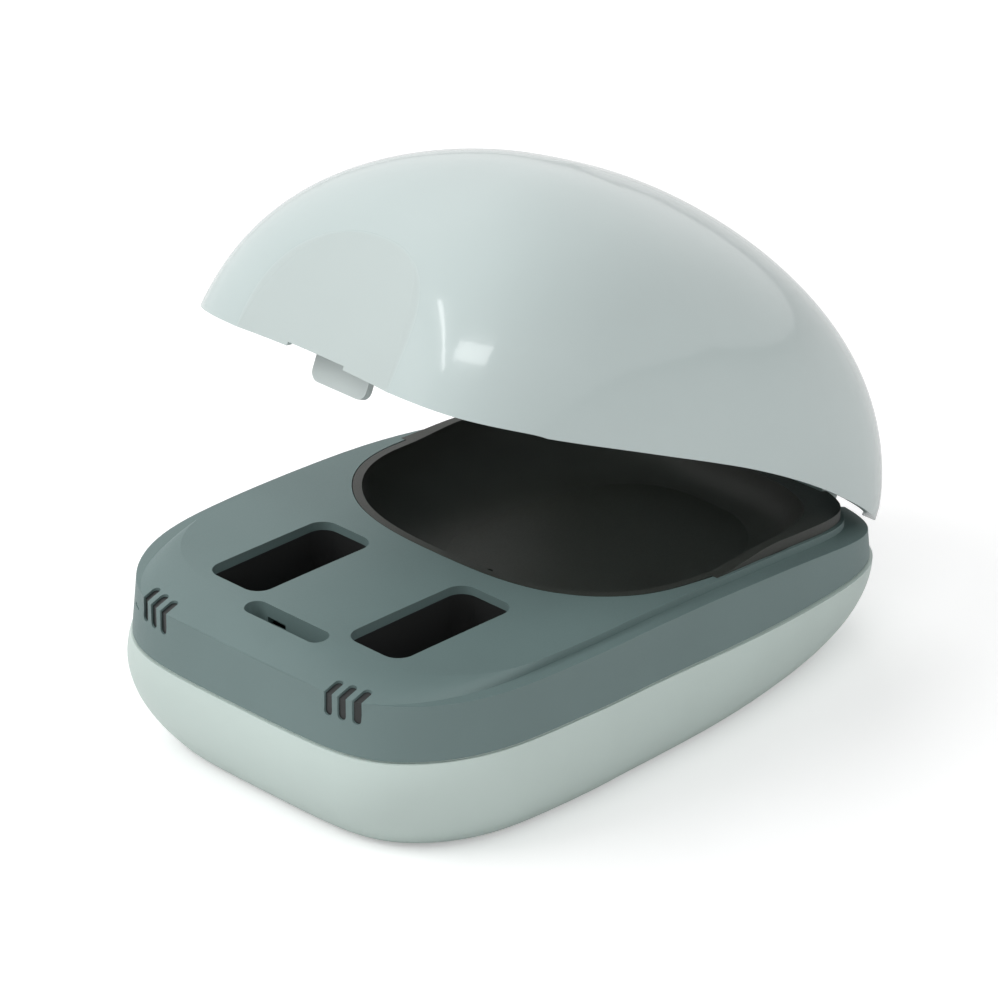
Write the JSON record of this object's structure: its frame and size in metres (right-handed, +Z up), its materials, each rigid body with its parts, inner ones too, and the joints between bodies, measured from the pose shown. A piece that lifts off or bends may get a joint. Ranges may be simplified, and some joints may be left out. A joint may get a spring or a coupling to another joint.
{
  "type": "hearing aid dryer",
  "caption": "Hearing aid drying and charging box with a domed hinged lid, two charging wells, a drying bowl and a start button",
  "frame": {"origin": "middle of the footprint on the resting surface", "axes": "X runs across the box from its left side to its right side, Y runs from the front to the hinge at the rear, and Z is up. With the lid at rest the origin is midway between the front and the rear of the whole, on the resting surface"},
  "size_m": [0.0857, 0.1305, 0.095],
  "materials": {
    "white_shell": "satin",
    "grey_tray": "soft satin",
    "dark_bowl": "matte",
    "board": "solder mask",
    "led_body": "clear",
    "heater": "smooth silicone",
    "socket_metal": "drawn",
    "chip_black": "moulded",
    "grey_button": "satin",
    "foot_rubber": "matte",
    "screw_steel": "zinc plated",
    "dark_cup": "matte",
    "coil_copper": "enamelled wire",
    "ferrite": "sintered",
    "dark_window": "smoked",
    "bracket_steel": "pressed",
    "pin_steel": "ground",
    "white_lid": "glossy",
    "tab_plastic": "satin",
    "magnet": "nickel plated",
    "plate_plastic": "satin"
  },
  "bodies": {
    "base": {"lower_shell": "white_shell", "tray_cover": "grey_tray", "drying_bowl": "dark_bowl", "main_board": "board", "led_board": "board", "status_leds": "led_body", "heater_pad": "heater", "power_socket": "socket_metal", "lid_sensor": "chip_black", "tact_switch": "chip_black", "side_board": "board", "rubber_feet": "foot_rubber", "housing_screws": "screw_steel", "board_screws": "screw_steel", "bracket_screws": "screw_steel", "left_well_cup": "dark_cup", "right_well_cup": "dark_cup", "left_charging_coil": "coil_copper", "right_charging_coil": "coil_copper", "left_coil_ferrite": "ferrite", "right_coil_ferrite": "ferrite", "left_light_guide": "dark_window", "right_light_guide": "dark_window", "left_hinge_bracket": "bracket_steel", "right_hinge_bracket": "bracket_steel", "left_hinge_pin": "pin_steel", "right_hinge_pin": "pin_steel"},
    "lid": {"lid_shell": "white_lid", "latch_tab": "tab_plastic", "lid_magnet": "magnet", "lid_hinge_plate": "plate_plastic"},
    "button": {"start_button": "grey_button", "switch_plunger": "chip_black"}
  },
  "joints": [
    {"name": "lid_hinge", "type": "hinge", "parent": "base", "child": "lid", "pos_m": [0, 0.0562, 0.016], "axis": [-1, 0, 0], "range_deg": [-23.2, 24]},
    {"name": "button_press", "type": "slide", "parent": "base", "child": "button", "axis": [1, 0, 0], "range_m": [0, 0.0008], "stiffness_N_per_m": 800}
  ]
}
